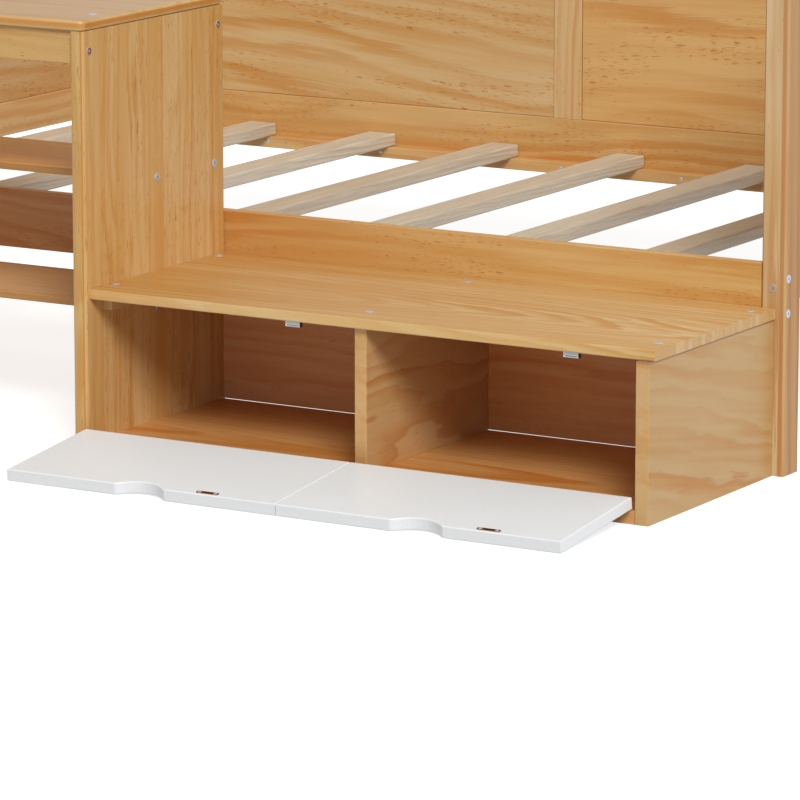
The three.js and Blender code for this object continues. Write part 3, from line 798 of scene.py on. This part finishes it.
def desk_bolts():
    """Bolts through the desk's sides into its aprons and shelves, and down through its top."""
    for side, sign in zip(SIDES, (-1, 1)):
        low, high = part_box(f"desk_side_{side}")
        x = high.x if sign > 0 else low.x
        aprons = [(x, low.y + y * MM, APRON_BOLT_HEIGHT) for y in APRON_BOLTS_FROM_FRONT]
        shelves = [(x, low.y + y * MM, z) for y in SHELF_BOLTS_FROM_FRONT for z in SHELF_BOLT_HEIGHTS]
        numbered(f"desk_{side}_apron_bolt", RECESSED_BOLT, aprons, (sign, 0, 0))
        numbered(f"desk_{side}_shelf_bolt", BOLT, shelves, (sign, 0, 0))
    low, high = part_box("desk_top")
    inset = DESK_TOP_BOLT_FROM_END * MM
    spots = [(x, low.y + y * MM, high.z)
             for x in (low.x + inset, high.x - inset) for y in DESK_TOP_BOLTS_FROM_FRONT]
    numbered("desk_top_bolt", FLAT_BOLT, spots, (0, 0, 1))


def bench_bolts():
    """Bolts down through the bench top into its sides and divider."""
    low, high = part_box("bench_top")
    spots = [(x, low.y + y * MM, high.z)
             for x in BENCH_BOLT_PLACES for y in BENCH_BOLTS_FROM_FRONT]
    numbered("bench_bolt", FLAT_BOLT, spots, (0, 0, 1))


def post_bolts():
    """Bolts through the posts into the long rails and the end rails."""
    for side, sign in zip(SIDES, (-1, 1)):
        for place, way in (("front", -1), ("back", 1)):
            low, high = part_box(f"post_{place}_{side}")
            x = high.x if sign > 0 else low.x
            y = high.y if way > 0 else low.y
            heights = SIDE_BOLT_HEIGHTS + (TOP_SIDE_BOLT_HEIGHTS if place == "back" else ())
            spots = [(x, y - way * SIDE_BOLT_FROM_FACE * MM, z) for z in heights]
            numbered(f"post_{place}_{side}_side_bolt", BOLT, spots, (sign, 0, 0))
            behind_desk = (place, side) == ("front", "left")
            heights = (() if behind_desk else (END_BOLT_HEIGHT,)) + (TOP_END_BOLT_HEIGHT,)
            spots = [(sign * END_BOLT_PLACE, y, z) for z in heights]
            numbered(f"post_{place}_{side}_end_bolt", DULL_BOLT, spots, (0, way, 0))


def ledge_screws():
    """Screws through the slats' ledges into the long rails."""
    for place, way in (("front", 1), ("back", -1)):
        low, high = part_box(f"ledge_{place}")
        y = high.y if way > 0 else low.y
        spots = [(x, y, LEDGE_SCREW_HEIGHT) for x in LEDGE_SCREW_PLACES]
        numbered(f"ledge_{place}_screw", PAN_SCREW, spots, (0, way, 0))


def open_door(side):
    """What places a point of a shut door, measured from its hinge line, on the open one."""
    pin_low, pin_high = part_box(f"hinge_{side}_1_pin")
    middle = (pin_low + pin_high) / 2
    middle.x = 0
    return Matrix.Translation(middle) @ Matrix.Rotation(DOOR_SWING, 4, "X")


def strike_screws():
    """Two screws in each strike plate, a little proud of it."""
    for side in SIDES:
        low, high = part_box(f"strike_{side}")
        up = open_door(side).to_3x3() @ Vector((0, 1, 0))
        middle = (low + high) / 2 + up * STRIKE_SCREW_RISE * MM
        spots = [middle + Vector((way * STRIKE_SCREW_FROM_MIDDLE * MM, 0, 0)) for way in (-1, 1)]
        numbered(f"strike_{side}_screw", STRIKE_SCREW, spots, up, f"door_{side}")


def hinge_screws():
    """Two flat screws in each hinge leaf, on the faces that meet when the door is shut."""
    from_pin = HINGE_SCREW_FROM_PIN * MM
    for side in SIDES:
        opened = open_door(side)
        for hinge in HINGES:
            name = f"hinge_{side}_{hinge}"
            low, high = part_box(f"{name}_floor_leaf")
            pin_low, pin_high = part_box(f"{name}_pin")
            pin = (pin_low + pin_high) / 2
            places = (low.x + HINGE_SCREW_FROM_END * MM, high.x - HINGE_SCREW_FROM_END * MM)
            spots = [(x, pin.y + from_pin, pin.z - HINGE_HALF_GAP) for x in places]
            numbered(f"{name}_floor_screw", HINGE_SCREW, spots, (0, 0, 1))
            spots = [opened @ Vector((x, from_pin, HINGE_HALF_GAP)) for x in places]
            normal = opened.to_3x3() @ Vector((0, 0, -1))
            numbered(f"{name}_door_screw", HINGE_SCREW, spots, normal, f"door_{side}")


def plate_mesh(name, size, rings, metal_name):
    """A closed plate with rounded corners, its back on Z = 0. Each ring is an inset and a height."""
    mesh = bmesh.new()
    loops = []
    for inset, height in rings:
        half = [edge / 2 - inset * MM for edge in size]
        corner = min(PLATE_CORNER * MM, *half)
        loop = []
        for step in range(HEAD_STEPS):
            angle = 2 * math.pi * (step + 0.5) / HEAD_STEPS
            spot = [math.copysign(reach - corner, way) + corner * way
                    for reach, way in zip(half, (math.cos(angle), math.sin(angle)))]
            loop.append(mesh.verts.new((*spot, height * MM)))
        loops.append(loop)
    mesh.faces.new(reversed(loops[0]))
    mesh.faces.new(loops[-1])
    for outer, inner in zip(loops, loops[1:]):
        for step in range(HEAD_STEPS):
            after = (step + 1) % HEAD_STEPS
            mesh.faces.new((outer[step], outer[after], inner[after], inner[step]))
    return finished(name, mesh, [metal_name])


def catch_poles():
    """The two steel poles in each magnetic catch's face, and a dull strip of painted shade in the gap
    between them.
    """
    to_front = Matrix.Rotation(math.pi / 2, 4, "X")
    for side in SIDES:
        low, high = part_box(f"catch_{side}")
        x = (low.x + high.x) / 2 + CATCH_LAYER_SHIFT * MM
        for name, bottom, thick, proud, metal_name in CATCH_LAYERS:
            size = (high.x - low.x - CATCH_WALL * MM, thick * MM)
            rings = ((0.0, 0.0), (0.0, proud * PLATE_SIDE_SHARE), (PLATE_BEVEL, proud))
            plate = plate_mesh(f"catch_{side}_{name}", size, rings, metal_name)
            spot = Vector((x, low.y, low.z + (bottom + thick / 2) * MM))
            add_piece(plate, Matrix.Translation(spot) @ to_front)


dress_boards()
dress_fittings()
desk_bolts()
bench_bolts()
post_bolts()
ledge_screws()
strike_screws()
hinge_screws()
catch_poles()


def floor_and_world():
    """A white floor that keeps a faint shadow, and an even white surround."""
    bpy.ops.mesh.primitive_plane_add(size=FLOOR_SIZE)
    floor = bpy.context.object
    floor.name = "studio_floor"
    material = bpy.data.materials.new("studio_white")
    t = emptied(material)
    matte = t.add("ShaderNodeBsdfDiffuse", {"Color": FLOOR_GREY}).outputs[0]
    strength = t.math("MULTIPLY", t.seen(), FLOOR_GLOW)
    glow = t.add("ShaderNodeEmission", {"Strength": strength}).outputs[0]
    both = t.add("ShaderNodeAddShader", enumerate((matte, glow))).outputs[0]
    t.add("ShaderNodeOutputMaterial", {"Surface": both})
    floor.data.materials.append(material)

    world = bpy.data.worlds.new("studio")
    bpy.context.scene.world = world
    t = emptied(world)
    more = t.math("MULTIPLY", t.seen(), SURROUND_SEEN_STRENGTH - SURROUND_STRENGTH)
    strength = t.math("ADD", SURROUND_STRENGTH, more)
    background = t.add("ShaderNodeBackground", {"Color": (1, 1, 1, 1), "Strength": strength})
    t.add("ShaderNodeOutputWorld", {"Surface": background.outputs[0]})


def key_light():
    """One large soft light from the front, the right and above."""
    light = bpy.data.lights.new("key", "SUN")
    light.energy = SUN_STRENGTH
    light.angle = SUN_ANGLE
    lamp = bpy.data.objects.new("key", light)
    lamp.rotation_euler = Vector(SUN_FROM).to_track_quat("Z", "Y").to_euler()
    bpy.context.scene.collection.objects.link(lamp)


def photo_camera():
    """The camera where the photograph was taken."""
    low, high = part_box("bench_side")
    corner = Vector((high.x, low.y, 0))
    data = bpy.data.cameras.new("photo_camera")
    data.lens = CAMERA_LENS_MM
    data.sensor_width = CAMERA_SENSOR_MM
    data.clip_end = CAMERA_REACH
    eye = bpy.data.objects.new("photo_camera", data)
    eye.location = corner + Vector(CAMERA_FROM_CORNER)
    eye.rotation_euler = (math.radians(90 - CAMERA_PITCH), 0, math.radians(CAMERA_YAW))
    bpy.context.scene.collection.objects.link(eye)
    bpy.context.scene.camera = eye


floor_and_world()
key_light()
photo_camera()
bpy.context.scene.view_settings.view_transform = "Standard"
